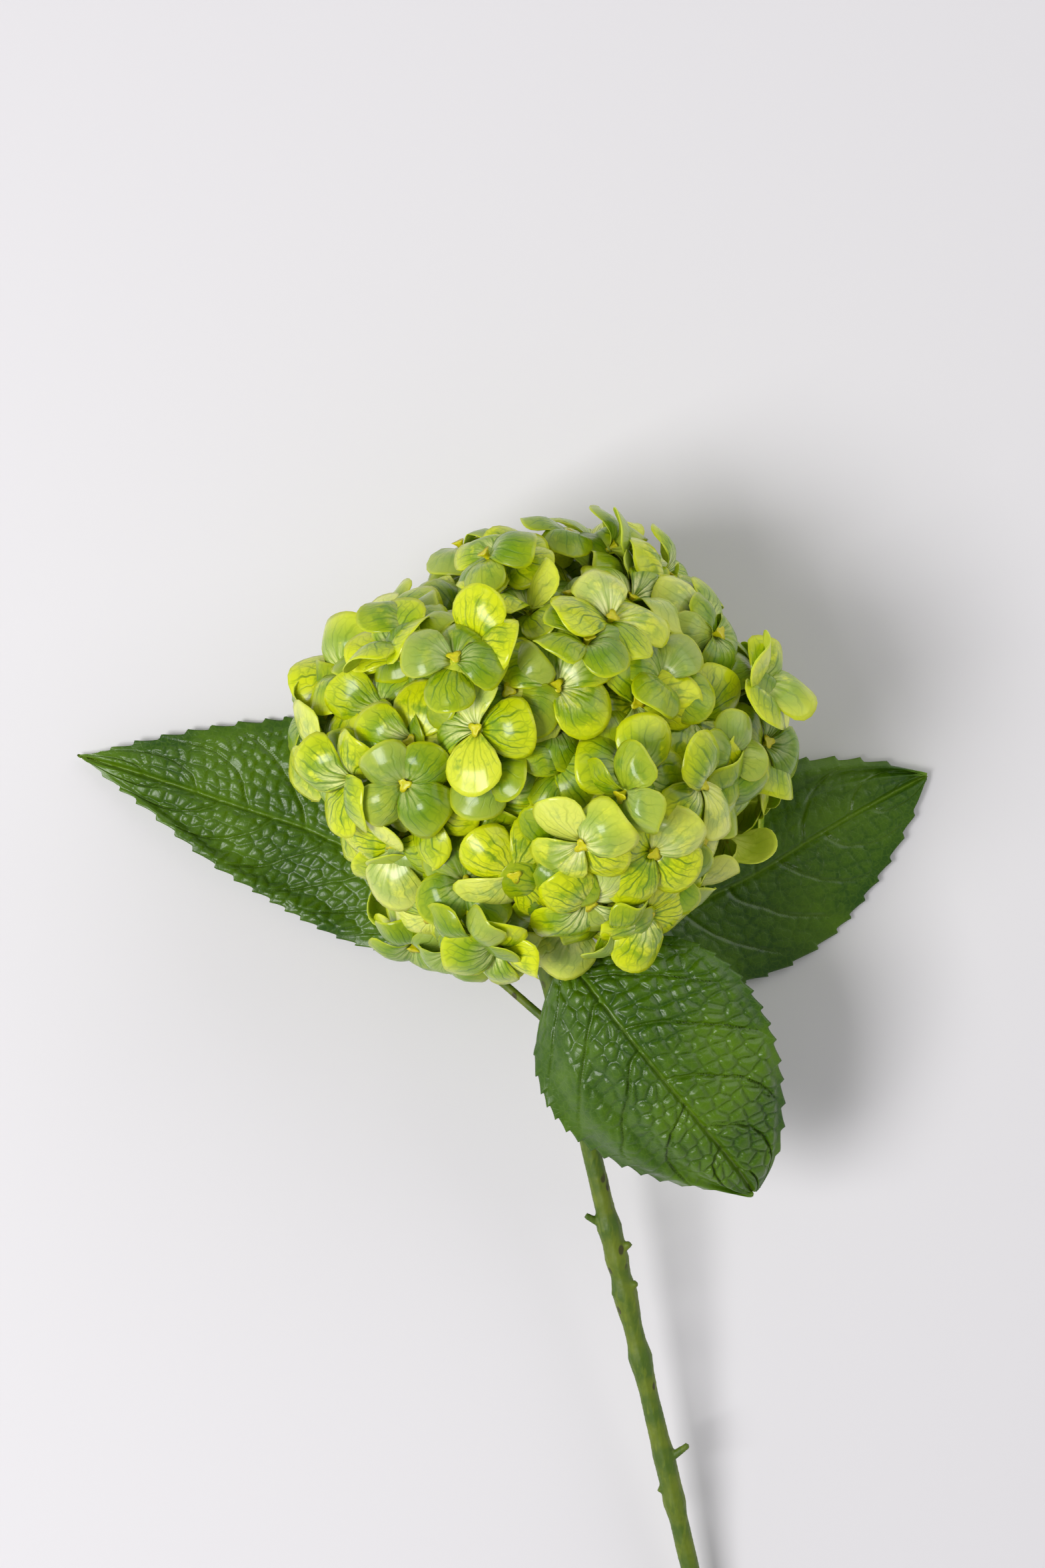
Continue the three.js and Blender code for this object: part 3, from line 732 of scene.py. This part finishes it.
leaf(
    "leaf_front",
    [
        (0.036, 0.979, 0.241), (0.070, 0.984, 0.503), (0.131, 0.910, 0.641), (0.234, 0.783, 0.874),
        (0.405, 0.583, 0.962), (0.610, 0.351, 0.787), (0.804, 0.130, 0.377), (0.896, 0.003, 0.026),
    ],
    {
        "Left Width": 43 * MM, "Right Width": 38 * MM, "Base Fullness": 0.5, "Tip Fullness": 0.75,
        "Left Drop": 8 * MM, "Right Drop": 20 * MM, "Quilting": 1.5 * MM, "Vein Pairs": 5.0,
        "Vein Lead": 0.34, "Teeth": 17.0, "Tooth": 1.9 * MM, "Waves": 3.0 * MM,
        "Right Outer Quilting": 0.35, "Right Folds": 1.3 * MM,
    },
)

# ---- Cymes of florets ------------------------------------------------------------------
# Thin pedicels part from each cyme's stalk and each carries one floret: four broad papery
# sepals, the upper pair over the lower pair, round a small three-cornered yellow eye.
# Sepals are satin lime green with darker veins, and their backs are paler and matte.

SEPAL_LENGTH = 20.5 * MM
UPPER_LIFT = 1.0 * MM
EYE_BASE_EDGE = 3.394 * MM  # the longer base edge of the eye's four-sided point
EYE_SLOPE_EDGE = 3.086 * MM  # the edges that rise to its tip
EYE_FOOT = 3.0 * MM
CYME_STALK = 7.0 * MM
STALK_FOOT_REACH = 2.7 * MM
HUB_DEPTH = 11 * MM
FACING_TILT = 0.27


def node_points(node):
    return [vertex.co.copy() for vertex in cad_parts[node].data.vertices]


def middle_of(points):
    return sum(points, Vector()) / len(points)


def florets_of(node):
    """Finds a cyme's florets by the four-sided points of their eyes. Each is its centre, the
    direction that it faces, and its four sepals as (direction, lift, slope)."""
    surface = bmesh.new()
    surface.from_mesh(merged_copy(node))
    found = []
    for vertex in surface.verts:
        edges = vertex.link_edges
        if len(edges) != 4 or any(abs(edge.calc_length() - EYE_SLOPE_EDGE) > 0.03 * MM for edge in edges):
            continue
        corners = [edge.other_vert(vertex).co.copy() for edge in edges]
        foot = middle_of(corners)
        facing = (vertex.co - foot).normalized()
        centre = foot - facing * EYE_FOOT
        near = sorted(corners[1:], key=lambda corner: abs((corner - corners[0]).length - EYE_BASE_EDGE))
        first = (near[0] - corners[0]).normalized()
        second = facing.cross(first)
        sepals = []
        for k, direction in enumerate((first, second, -first, -second)):
            beside = facing.cross(direction)
            tip = min(
                (v.co - centre for v in surface.verts),
                key=lambda p: abs(p.dot(direction) - SEPAL_LENGTH) + abs(p.dot(beside)),
            )
            lift = 0.0 if k % 2 else UPPER_LIFT
            sepals.append((direction, lift, (tip.dot(facing) - lift) / SEPAL_LENGTH))
        found.append((centre, facing, sepals))
    surface.free()
    return found


vein_group, given, exit_node = new_tree(
    "Sepal veins",
    "ShaderNodeTree",
    {"Fan": ("Vector", None), "Veins": ("Float", 5.0), "Wander": ("Float", 0.5), "Chance": ("Float", 0.0)},
    {"Main": "Float", "Branches": "Float", "Net": "Float"},
)
tree = vein_group
fan_angle, fan_out, _ = given["Fan"].parts()
wander = noise(together(tree, fan_angle * 3.0, fan_out * 2.5, given["Chance"] * 9.0), 1.0, 2.0) - 0.5
angle = (fan_angle - 0.5) * 2.0 + wander * given["Wander"]
for label, count, low, high, width in (("Main", 0.5, 0.02, 0.12, 0.055), ("Branches", 1.0, 0.3, 0.5, 0.04)):
    lines = ((angle * given["Veins"] * count + 0.5).fract() - 0.5).size() / (given["Veins"] * count)
    spread = lines * fan_out * 2.2
    mask = spread.ramp(width * 0.3, width, 1.0, 0.0) * fan_out.ramp(low, high)
    feed(mask * fan_out.ramp(0.72, 0.98, 1.0, 0.15), exit_node.inputs[label])
net_place = together(tree, angle * 5.0, fan_out * 6.0, given["Chance"] * 9.0)
feed(cell_edges(net_place, 1.0).ramp(0.0, 0.1, 1.0, 0.0), exit_node.inputs["Net"])

mottle_group, given, exit_node = new_tree(
    "Sepal mottle",
    "ShaderNodeTree",
    {
        "Place": ("Vector", None),
        "Fan": ("Vector", None),
        "Chance": ("Float", 0.0),
        "Freshness": ("Float", 0.5),
    },
    {"Mottling": "Float", "Streaks": "Float", "Grain": "Float"},
)
fan_angle, fan_out, _ = given["Fan"].parts()
mottling = (noise(given["Place"], 190, 3.0, 0.6) + (given["Freshness"] - 0.5) * 0.35).ramp(0.38, 0.6)
feed(mottling, exit_node.inputs["Mottling"])
streak_place = together(mottle_group, fan_angle * 16.0, fan_out * 1.5, given["Chance"] * 9.0)
feed(noise(streak_place, 1.0, 2.0).ramp(0.3, 0.6), exit_node.inputs["Streaks"])
feed(noise(given["Place"], 1100, 2.0), exit_node.inputs["Grain"])


def sepal_material(name, dark, light, vein, pale_claw_and_highlight, strength, roughness, coat):
    material, shader, place = new_material(name)
    tree = material.node_tree
    fan = Field(node_in(tree, "ShaderNodeUVMap", uv_map="UVMap").outputs[0])
    drawn = node_in(tree, "ShaderNodeAttribute", attribute_name="chance", attribute_type="GEOMETRY")
    chance, freshness, _ = Field(drawn.outputs["Vector"]).parts()
    inner = node_in(tree, "ShaderNodeAttribute", attribute_name="painted_shade", attribute_type="GEOMETRY")
    painted_shade = Field(inner.outputs["Fac"])
    _, fan_out, _ = fan.parts()
    veins = placed_group(tree, vein_group, {"Fan": fan, "Chance": chance})
    main, branches, net = veins["Main"], veins["Branches"], veins["Net"]
    mottle_inputs = {"Place": place, "Fan": fan, "Chance": chance, "Freshness": freshness}
    mottle = placed_group(tree, mottle_group, mottle_inputs)
    grain = mottle["Grain"]
    # Some sepals are darker and some paler. On the fresher ones, pale streaks at the claw are partly the
    # claw's own pale tone and partly a painted highlight.
    colour = blend(tree, mottle["Mottling"] * fan_out.ramp(0.6, 1.0, 1.0, 0.15), light, dark)
    dark_share = chance.ramp(0.0, 0.5, 1.0, 0.0) * fan_out.ramp(0.5, 1.0, 0.8, 0.2)
    colour = blend(tree, dark_share, colour, dark)
    colour = blend(tree, chance.ramp(0.65, 0.95) * 0.3, colour, pale_claw_and_highlight)
    # Pale streaks near the claw: partly the sepal's own pale claw, partly a painted highlight.
    pale_claw_highlight_share = fan_out.ramp(0.15, 0.7, 1.0, 0.0) * mottle["Streaks"] * freshness.ramp(0.3, 0.6)
    colour = blend(tree, pale_claw_highlight_share, colour, pale_claw_and_highlight)
    # The sepals of the inner florets are painted darker: painted shade for the shade deep in the head.
    colour = blend(tree, painted_shade * 0.55, colour, vein)
    lines = (main * 0.95).most(branches * 0.6).most(net * 0.35) * chance.ramp(0.3, 0.9, 1.0, 0.3)
    colour = blend(tree, lines * strength, colour, vein)
    colour = blend(tree, fan_out.ramp(0.94, 1.0) * 0.6, colour, light)
    feed(colour, shader.inputs["Base Color"])
    feed(grain.ramp(0.3, 0.7, roughness, roughness + 0.1), shader.inputs["Roughness"])
    shader.inputs["Coat Weight"].default_value = coat
    shader.inputs["Coat Roughness"].default_value = 0.17
    shader.inputs["Specular IOR Level"].default_value = 0.2
    shader.inputs["Subsurface Weight"].default_value = 0.15
    shader.inputs["Subsurface Radius"].default_value = (0.6, 1.0, 0.15)
    shader.inputs["Subsurface Scale"].default_value = 1.2 * MM
    bump(shader, main * -0.8 - branches * 0.5 - net * 0.2 + grain * 0.05, 0.16 * MM, 0.6)
    return material


sepal_face = sepal_material(
    "sepal face",
    dark=(0.25, 0.40, 0.0005),
    light=(0.68, 0.76, 0.004),
    vein=(0.10, 0.22, 0.0005),
    pale_claw_and_highlight=(0.94, 0.99, 0.40),
    strength=0.85,
    roughness=0.34,
    coat=0.55,
)
sepal_back = sepal_material(
    "sepal back",
    dark=(0.46, 0.57, 0.01),
    light=(0.66, 0.74, 0.06),
    vein=(0.30, 0.42, 0.004),
    pale_claw_and_highlight=(0.70, 0.78, 0.14),
    strength=0.5,
    roughness=0.5,
    coat=0.0,
)
sepal_rim, rim_shader, _ = new_material("sepal rim")
rim_shader.inputs["Base Color"].default_value = (0.64, 0.76, 0.05, 1.0)
rim_shader.inputs["Roughness"].default_value = 0.4


def copies_on(points, shape):
    """A copy of a shape on each point, as real faces that keep the point's attributes."""
    inputs = {"Points": points, "Instance": shape}
    copies = Field(node_in(points.tree, "GeometryNodeInstanceOnPoints", inputs).outputs[0])
    return Field(node_in(points.tree, "GeometryNodeRealizeInstances", {"Geometry": copies}).outputs[0])


sepal_tree, given, exit_node = new_tree(
    "Sepals of a cyme",
    "GeometryNodeTree",
    {
        "Geometry": ("Geometry", None),
        "Half Angle": ("Float", 0.95),
        "Width Spread": ("Float", 0.16),
        "Shoulder": ("Float", 0.42),
        "Bulge": ("Float", 3.2 * MM),
        "Bulge Spread": ("Float", 2.0 * MM),
        "Side Drop": ("Float", 3.6 * MM),
        "Rim Wave": ("Float", 0.5 * MM),
        "Rim Curl": ("Float", 2.2 * MM),
        "Twist": ("Float", 0.3),
        "Thickness": ("Float", 0.28 * MM),
        "Lowest": ("Float", 0.35 * MM),
        "Highest": ("Float", 0.157),
        "Seed": ("Int", 1),
        "Face": ("Material", None),
        "Back": ("Material", None),
        "Rim": ("Material", None),
    },
    {"Geometry": "Geometry"},
)
tree = sepal_tree
points = given["Geometry"]
for name, step in (("chance", 0), ("luck", 500)):
    draw = node_in(tree, "FunctionNodeRandomValue", data_type="FLOAT_VECTOR")
    feed(given["Seed"] + step, draw.inputs["Seed"])
    points = stored(points, name, Field(draw.outputs[0]), "FLOAT_VECTOR")
points = stored(points, "eye", Field(tree.nodes.new("GeometryNodeInputPosition").outputs[0]), "FLOAT_VECTOR")
fan = node_in(
    tree, "GeometryNodeMeshGrid", {"Size X": 1.0, "Size Y": 1.0, "Vertices X": 16, "Vertices Y": 8}
)
fan_x, fan_y, _ = Field(tree.nodes.new("GeometryNodeInputPosition").outputs[0]).parts()
fan_place = together(tree, fan_x + 0.5, fan_y + 0.5)
loose = copies_on(points, stored(Field(fan.outputs["Mesh"]), "fan", fan_place, "FLOAT_VECTOR"))
fan_x, fan_y, _ = named(tree, "fan", "FLOAT_VECTOR").parts()
chance_a, chance_b, chance_c = named(tree, "chance", "FLOAT_VECTOR").parts()
luck_a, luck_b, luck_c = named(tree, "luck", "FLOAT_VECTOR").parts()
side = (fan_x - 0.5) * 2.0
angle = side * given["Half Angle"] * ((luck_a - 0.5) * 2.0 * given["Width Spread"] + 1.0)
out = (1.0 - (1.0 - fan_y) ** 1.35) * 0.93 + 0.07
rim_shape = angle.cos() ** 0.7 * (1.0 - side.size() ** 6.0 * given["Shoulder"])
rim_shape = rim_shape * (1.0 + (side * 5.0 + luck_b * 9.0).sin() * 0.025)
length = named(tree, "length")
share = out * rim_shape
distance = share * length
lateral = angle.sin() * distance
bulge = given["Bulge"] + (chance_b - 0.4) * 2.0 * given["Bulge Spread"]
height = (
    (share.least(1.0) * math.pi).sin() * bulge
    - (lateral / (0.5 * length)) ** 2.0 * given["Side Drop"] * (luck_c + 0.4)
    + (side * 7.0 + chance_c * 6.0).sin() * share**3.0 * given["Rim Wave"]
    - share.ramp(0.55, 1.0) * given["Rim Curl"] * (luck_b + 0.1)
)
rise = named(tree, "rise")
twist = (chance_a - 0.5) * 2.0 * given["Twist"]
facing = named(tree, "facing", "FLOAT_VECTOR")
towards = named(tree, "towards", "FLOAT_VECTOR")
beside = towards.cross(facing)
ahead = towards * rise.cos() + facing * rise.sin()
above = facing * rise.cos() - towards * rise.sin()
beside_twisted = beside * twist.cos() + above * twist.sin()
above_twisted = above * twist.cos() - beside * twist.sin()
place = (
    named(tree, "eye", "FLOAT_VECTOR")
    + facing * named(tree, "lift")
    + ahead * (angle.cos() * distance)
    + beside_twisted * lateral
    + above_twisted * height
)
place_x, place_y, place_z = place.parts()
place_z = place_z.most(given["Lowest"] + share * 0.4 * MM).least(given["Highest"])
sheet = stored(loose, "UVMap", together(tree, fan_x, out), "FLOAT2", "CORNER")
sheet = placed_at(sheet, together(tree, place_x, place_y, place_z))
finished(with_thickness(sheet, given["Thickness"], given["Face"], given["Back"], given["Rim"]), exit_node)

eye_skin, eye_shader, place = new_material("eye skin")
mottle = noise(place, 900).ramp(0.35, 0.65)
colour = blend(eye_skin.node_tree, mottle, (0.62, 0.60, 0.002), (0.74, 0.68, 0.01))
feed(colour, eye_shader.inputs["Base Color"])
eye_shader.inputs["Roughness"].default_value = 0.38
eye_shader.inputs["Subsurface Weight"].default_value = 0.2
eye_shader.inputs["Subsurface Scale"].default_value = 1.0 * MM

eye_tree, given, exit_node = new_tree(
    "Eyes of a cyme",
    "GeometryNodeTree",
    {
        "Geometry": ("Geometry", None),
        "Height": ("Float", 4.8 * MM),
        "Neck": ("Float", 0.85 * MM),
        "Flare": ("Float", 1.35 * MM),
        "Corners": ("Float", 0.55),
        "Seed": ("Int", 1),
        "Material": ("Material", None),
    },
    {"Geometry": "Geometry"},
)
tree = eye_tree
chance = node_in(tree, "FunctionNodeRandomValue", data_type="FLOAT_VECTOR")
feed(given["Seed"], chance.inputs["Seed"])
points = stored(given["Geometry"], "chance", Field(chance.outputs[0]), "FLOAT_VECTOR")
points = stored(points, "eye", Field(tree.nodes.new("GeometryNodeInputPosition").outputs[0]), "FLOAT_VECTOR")
peg = node_in(
    tree,
    "GeometryNodeMeshCylinder",
    {"Vertices": 18, "Side Segments": 6, "Fill Segments": 2, "Radius": 1.0, "Depth": 1.0},
)
peg_place = Field(tree.nodes.new("GeometryNodeInputPosition").outputs[0])
loose = copies_on(points, stored(Field(peg.outputs["Mesh"]), "peg", peg_place, "FLOAT_VECTOR"))
peg_x, peg_y, peg_z = named(tree, "peg", "FLOAT_VECTOR").parts()
chance_a, chance_b, _ = named(tree, "chance", "FLOAT_VECTOR").parts()
up = peg_z + 0.5
turn = combine(tree, "ARCTAN2", peg_y, peg_x) + chance_a * 6.3
middle_out = (peg_x**2.0 + peg_y**2.0) ** 0.5
corner = ((turn - chance_a * 6.3) * 3.0).cos() * given["Corners"] + 1.0
radius = middle_out * (given["Neck"] + up**3.0 * corner * given["Flare"])
height = up * given["Height"] * (chance_b * 0.2 + 0.85) - 1.0 * MM
height = height - up**6.0 * (1.0 - middle_out) * 0.7 * MM
towards = named(tree, "towards", "FLOAT_VECTOR")
facing = named(tree, "facing", "FLOAT_VECTOR")
place = (
    named(tree, "eye", "FLOAT_VECTOR")
    + towards * (turn.cos() * radius)
    + facing.cross(towards) * (turn.sin() * radius)
    + facing * height
)
finished(placed_at(loose, place), exit_node, given["Material"])


def point_mesh(name, rows):
    """Loose points with attributes. Each row is a dictionary, with the point as its place."""
    mesh = bpy.data.meshes.new(name)
    mesh.from_pydata([row["place"] for row in rows], [], [])
    for key in rows[0]:
        if key == "place":
            continue
        if isinstance(rows[0][key], Vector):
            values = mesh.attributes.new(key, "FLOAT_VECTOR", "POINT")
            values.data.foreach_set("vector", [number for row in rows for number in row[key]])
        else:
            values = mesh.attributes.new(key, "FLOAT", "POINT")
            values.data.foreach_set("value", [row[key] for row in rows])
    return mesh


def bowed(start, start_way, end, end_way, girths, steps=7):
    """A stalk that leaves one point in one direction and reaches another from below."""
    bend = (end - start).length * 0.4
    a, b = start + start_way * bend, end - end_way * bend
    run = []
    for step in range(steps + 1):
        t = step / steps
        point = start * (1 - t) ** 3 + a * (3 * t * (1 - t) ** 2) + b * (3 * t**2 * (1 - t)) + end * t**3
        run.append((point, girths[0] + (girths[1] - girths[0]) * t))
    return run


def tipped(direction, random_source, most):
    """A direction tipped a random way by up to a share of its length."""
    return (direction + Vector([random_source.uniform(-most, most) for _ in range(3)])).normalized()


def to_light(centre, facing):
    """Florets round the sides of the head turn up to the light, and sit in closer."""
    share = max(0.0, 1.0 - abs(facing.z - 0.1) / 0.55)
    shoulder = 2.0 * max(0.0, facing.x) * max(0.0, facing.y)
    moves = (9.0 - 13.0 * shoulder, 1.5 - 10.0 * shoulder, 5.0)
    inwards = Vector([facing[k] * moves[k] for k in range(3)]) * share * MM
    return centre - inwards, (facing + Vector((0.0, 0.0, 0.7 * share))).normalized()


def sepal_rows(florets, luck, smallest, largest, painted_shade):
    """Where each sepal starts, which way it points, how long it is, how far it rises, and how much painted
    shade its colour gets.
    """
    rows = []
    for centre, facing, sepals in florets:
        size = luck.uniform(smallest, largest)
        opening = luck.choice((-0.3, -0.1, 0.12, 0.5))
        for k, (towards, lift, slope) in enumerate(sepals):
            towards = (towards - facing * towards.dot(facing)).normalized()
            rise = math.atan(slope) + opening * (0.5 if k % 2 else 1.0) + luck.uniform(-0.28, 0.28)
            length = SEPAL_LENGTH * size * luck.uniform(0.93, 1.08)
            rows.append(
                dict(
                    place=centre, facing=facing, towards=towards, lift=lift,
                    rise=rise, length=length, painted_shade=painted_shade,
                )
            )
    return rows


def four_sepals(facing, luck):
    """Four crossed sepals, turned at random about the way that the floret faces."""
    first = facing.cross(tipped(Vector((0.6, 0.8, 0.0)), luck, 1.0)).normalized()
    second = facing.cross(first)
    return [(way, 0.0, luck.uniform(-0.1, 0.35)) for way in (first, second, -first, -second)]


def inner_florets(florets, luck):
    """Smaller florets, a little deeper: one between each two of a cyme's florets, and one
    beyond each floret, where the cyme meets its neighbours."""
    inner = []
    crown = middle_of([centre for centre, _, _ in florets])
    for (centre, facing, _), (other_centre, other_facing, _) in zip(florets, florets[1:] + florets[:1]):
        outwards = tipped((facing + other_facing).normalized(), luck, 0.3)
        middle = centre.lerp(other_centre, luck.uniform(0.4, 0.6)) - outwards * luck.uniform(3.0, 9.0) * MM
        inner.append((middle, outwards, four_sepals(outwards, luck)))
        outwards = tipped(facing, luck, 0.3)
        away = tipped((centre - crown).normalized(), luck, 0.4)
        beyond = centre + away * luck.uniform(15.0, 19.0) * MM - outwards * luck.uniform(6.0, 11.0) * MM
        inner.append((beyond, outwards, four_sepals(outwards, luck)))
    return inner


stem_points = node_points("stem")
stem_top = max(p.y for p in stem_points)
stem_hub = middle_of([p for p in stem_points if p.y > stem_top - HUB_DEPTH])
cyme_nodes = sorted(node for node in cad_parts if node.startswith("floret_cyme"))
floret_count = 0
for seed, node in enumerate(cyme_nodes, start=1):
    luck = random.Random(seed)
    florets = []
    for centre, facing, sepals in florets_of(node):
        centre, facing = to_light(centre, facing)
        florets.append((centre, tipped(facing, luck, FACING_TILT), sepals))
    floret_count += len(florets)
    rows = sepal_rows(florets, luck, smallest=0.97, largest=1.1, painted_shade=0.0)
    inner = inner_florets(florets, luck)
    # The inner florets get painted shade in their sepals' colour.
    rows += sepal_rows(inner, luck, smallest=0.8, largest=0.95, painted_shade=1.0)
    florets += inner
    label = node.replace("floret_cyme", "cyme")
    sepals = grown(
        label,
        point_mesh(label, rows),
        sepal_tree,
        {"Seed": seed, "Face": sepal_face, "Back": sepal_back, "Rim": sepal_rim},
    )
    eye_rows = [dict(place=centre, facing=facing, towards=ways[0][0]) for centre, facing, ways in florets]
    eye_points = point_mesh(label, eye_rows)
    eyes = grown(label + "_eyes", eye_points, eye_tree, {"Seed": seed, "Material": eye_skin})
    points = node_points(node)
    nearest = min(points, key=lambda p: (p - stem_hub).length)
    stalk_foot = middle_of([p for p in points if (p - nearest).length < STALK_FOOT_REACH])
    crown = middle_of([centre for centre, _, _ in florets])
    stalk_way = (crown - stalk_foot).normalized()
    fork = stalk_foot + stalk_way * CYME_STALK
    halfway = stalk_foot.lerp(fork, 0.5)
    runs = [[(stalk_foot, 1.3 * MM), (halfway, 1.25 * MM), (fork + stalk_way * MM, 1.35 * MM)]]
    for centre, facing, _ in florets:
        runs.append(bowed(fork, stalk_way, centre - facing * 0.4 * MM, facing, (0.85 * MM, 0.8 * MM)))
        runs[-1].append((centre + facing * 0.3 * MM, 1.5 * MM))
    stalk_lines = line_mesh(label, runs)
    stalks = grown(label + "_stalks", stalk_lines, stalk_tree, {"Sides": 7, "Material": stalk_skin})
    cyme = joined_piece(label, [sepals, eyes, stalks])
    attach(cyme, "root")
    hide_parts(node)
print("florets found:", floret_count, "in", len(cyme_nodes), "cymes")

# ---- Stage -----------------------------------------------------------------------------
# A plain pale floor under soft studio light from the left, and a camera that looks
# straight down on the flower.

floor_mesh = bpy.data.meshes.new("floor")
FLOOR_REACH = 3.0
floor_corners = [(x * FLOOR_REACH, y * FLOOR_REACH, 0) for x, y in ((-1, -1), (1, -1), (1, 1), (-1, 1))]
floor_mesh.from_pydata(floor_corners, [], [(0, 1, 2, 3)])
floor = bpy.data.objects.new("floor", floor_mesh)
bpy.context.scene.collection.objects.link(floor)
floor_paint, floor_shader, _ = new_material("floor paint")
floor_shader.inputs["Base Color"].default_value = (0.80, 0.78, 0.80, 1.0)
floor_shader.inputs["Roughness"].default_value = 0.7
floor_mesh.materials.append(floor_paint)

boxes = [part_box(node) for node in cyme_nodes]
head_low = Vector([min(low[k] for low, _ in boxes) for k in range(3)])
head_high = Vector([max(high[k] for _, high in boxes) for k in range(3)])
head = (head_low + head_high) / 2


def soft_light(name, place, aim, size, power):
    lamp = bpy.data.lights.new(name, "AREA")
    lamp.shape = "RECTANGLE"
    lamp.size, lamp.size_y = size
    lamp.energy = power
    light = bpy.data.objects.new(name, lamp)
    light.location = place
    light.rotation_euler = (aim - place).to_track_quat("-Z", "Y").to_euler()
    bpy.context.scene.collection.objects.link(light)


soft_light("window", head + Vector((-0.95, -0.3, 1.45)), head, (0.8, 0.8), 24)
soft_light("wall", head + Vector((1.2, 0.9, 1.0)), head, (1.6, 1.6), 10)

# The studio's walls are pale and its ceiling is dark, so that it puts no haze on glossy skins.
world = bpy.data.worlds.new("studio")
world.use_nodes = True
sky = world.node_tree
direction = Field(sky.nodes.new("ShaderNodeTexCoord").outputs["Generated"])
_, _, upwards = direction.parts()
feed(upwards.ramp(0.1, 0.75, 0.68, 0.24), sky.nodes["Background"].inputs["Strength"])
sky.nodes["Background"].inputs["Color"].default_value = (0.97, 0.97, 1.0, 1.0)
bpy.context.scene.world = world
bpy.context.scene.view_settings.view_transform = "Standard"

FOCAL_LENGTH = 68.4
CAMERA_FROM_HEAD = Vector((-7.5 * MM, -12.5 * MM, 1050 * MM))
lens = bpy.data.cameras.new("camera")
lens.sensor_fit = "VERTICAL"
lens.sensor_height = 36.0
lens.lens = FOCAL_LENGTH
camera = bpy.data.objects.new("camera", lens)
camera.location = head + CAMERA_FROM_HEAD
bpy.context.scene.collection.objects.link(camera)
bpy.context.scene.camera = camera
